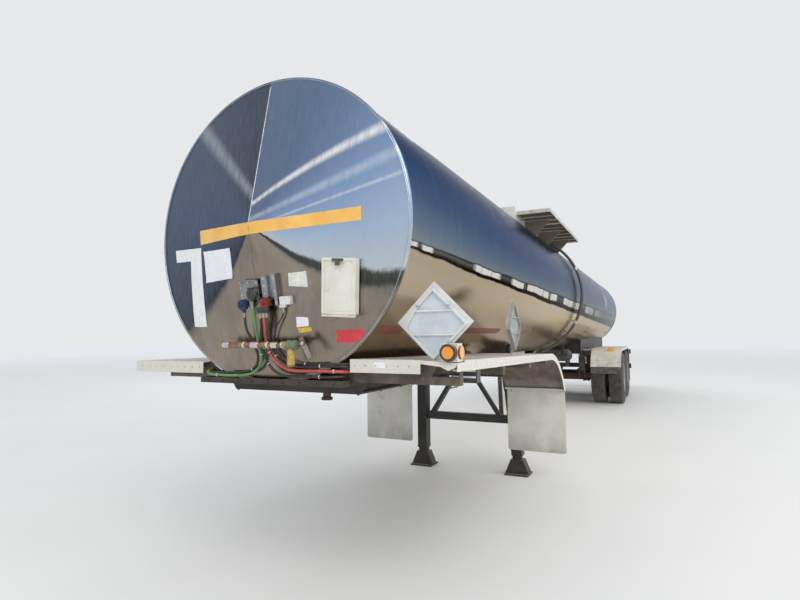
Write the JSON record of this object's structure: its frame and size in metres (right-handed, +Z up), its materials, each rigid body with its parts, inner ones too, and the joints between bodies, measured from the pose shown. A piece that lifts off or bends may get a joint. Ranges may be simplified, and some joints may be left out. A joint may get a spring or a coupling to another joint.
{
  "type": "tanker semi-trailer",
  "caption": "Long round insulated tank trailer with polished jacket, dished heads, top walkways, landing legs, twin-tyred rear axles, fenders and bumper.",
  "frame": {"origin": "on the ground, under the middle of the trailer's overall box", "axes": "+X forward towards the kingpin, +Y to the trailer's left, +Z up"},
  "size_m": [13.456, 2.42, 2.957],
  "materials": {
    "jacket": "polished and mirror bright",
    "heads": "dusty stainless",
    "stainless": "satin",
    "frame_steel": "worn and dusty grey paint",
    "cream_paint": "semi-gloss",
    "aluminium": "mill finish",
    "cast": "oily",
    "black_paint": "semi-gloss",
    "tyre": "worn tread",
    "rubber": "matte",
    "flap": "matte white",
    "green_hose": "matte",
    "red_hose": "matte",
    "blue_metal": "semi-gloss",
    "red_metal": "semi-gloss",
    "brass": "dull",
    "amber_lens": "clear gloss",
    "red_lens": "clear gloss"
  },
  "bodies": {
    "trailer": {"tank_barrel": "jacket", "front_head": "heads", "rear_head": "heads", "end_rims": "stainless", "spill_dam": "aluminium", "manway_collar": "stainless", "top_fittings": "stainless", "walkways": "aluminium", "drain_hose": "rubber", "hose_clips": "stainless", "upper_coupler": "frame_steel", "kingpin": "cast", "front_fender_left": "aluminium", "front_fender_right": "aluminium", "front_fender_brackets": "frame_steel", "front_mudflaps": "flap", "placard_holders": "aluminium", "marker_lamp_housing": "cream_paint", "marker_lenses": "amber_lens", "fender_box": "black_paint", "air_bracket": "stainless", "service_coupling": "blue_metal", "emergency_coupling": "red_metal", "front_pipe": "brass", "hose_service": "rubber", "cable_green": "green_hose", "hose_mid": "rubber", "hose_red": "red_hose", "hose_right": "rubber", "cable_lamp": "rubber", "terminal_box": "cream_paint", "document_box": "cream_paint", "landing_legs": "frame_steel", "leg_braces": "frame_steel", "leg_crank": "cast", "rear_subframe": "frame_steel", "spring_hangers": "black_paint", "leaf_springs": "cast", "spring_clamps": "cast", "axles": "cast", "air_reservoir": "black_paint", "reservoir_brackets": "frame_steel", "rear_fenders": "aluminium", "rear_fender_arms": "aluminium", "rear_mudflaps": "rubber", "rear_bumper": "frame_steel", "tail_lamps": "red_lens", "discharge_pipe": "stainless", "ladder": "aluminium"},
    "manlid": {"manlid": "stainless"},
    "document_box_lid": {"document_box_lid": "cream_paint"},
    "twin_fore_left": {"tyres_fore_left": "tyre", "wheels_fore_left": "aluminium"},
    "twin_fore_right": {"tyres_fore_right": "tyre", "wheels_fore_right": "aluminium"},
    "twin_aft_left": {"tyres_aft_left": "tyre", "wheels_aft_left": "aluminium"},
    "twin_aft_right": {"tyres_aft_right": "tyre", "wheels_aft_right": "aluminium"}
  },
  "joints": [
    {"name": "manlid_hinge", "type": "hinge", "parent": "trailer", "child": "manlid", "pos_m": [1.007, 0, 2.903], "axis": [0, -1, 0], "range_deg": [0, 105]},
    {"name": "document_box_hinge", "type": "hinge", "parent": "trailer", "child": "document_box_lid", "pos_m": [6.64379, 0.49412, 1.50803], "axis": [-0.1815, 0.9816, -0.0588], "range_deg": [0, 95]},
    {"name": "twin_fore_left_spin", "type": "hinge", "parent": "trailer", "child": "twin_fore_left", "pos_m": [-2.878, 0.905, 0.515], "axis": [0, 1, 0], "continuous": true},
    {"name": "twin_fore_right_spin", "type": "hinge", "parent": "trailer", "child": "twin_fore_right", "pos_m": [-2.878, -0.905, 0.515], "axis": [0, 1, 0], "continuous": true},
    {"name": "twin_aft_left_spin", "type": "hinge", "parent": "trailer", "child": "twin_aft_left", "pos_m": [-4.128, 0.905, 0.515], "axis": [0, 1, 0], "continuous": true},
    {"name": "twin_aft_right_spin", "type": "hinge", "parent": "trailer", "child": "twin_aft_right", "pos_m": [-4.128, -0.905, 0.515], "axis": [0, 1, 0], "continuous": true}
  ]
}
